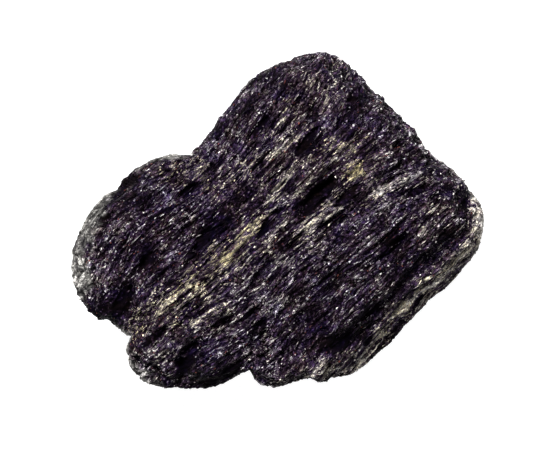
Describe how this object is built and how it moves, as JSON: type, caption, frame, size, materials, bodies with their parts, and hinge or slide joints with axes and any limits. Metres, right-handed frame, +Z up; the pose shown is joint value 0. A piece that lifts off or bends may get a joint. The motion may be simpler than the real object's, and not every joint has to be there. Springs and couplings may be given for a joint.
{
  "type": "hornblende specimen",
  "caption": "Loose lump of fibrous black hornblende with a broad fluted face, lens-shaped hollows and rounded lobes, lying on its flattest side.",
  "frame": {"origin": "on the ground under the middle of the stone, at the centre of the bottom of its bounding box", "axes": "+X along the stone's longest direction, +Y across it, +Z up out of the broad fluted face, which is its shortest direction"},
  "size_m": [0.075, 0.0614, 0.028],
  "materials": {
    "hornblende": "fibrous, with small bright cleavage faces"
  },
  "bodies": {
    "root": {"hornblende_stone": "hornblende"}
  },
  "joints": []
}
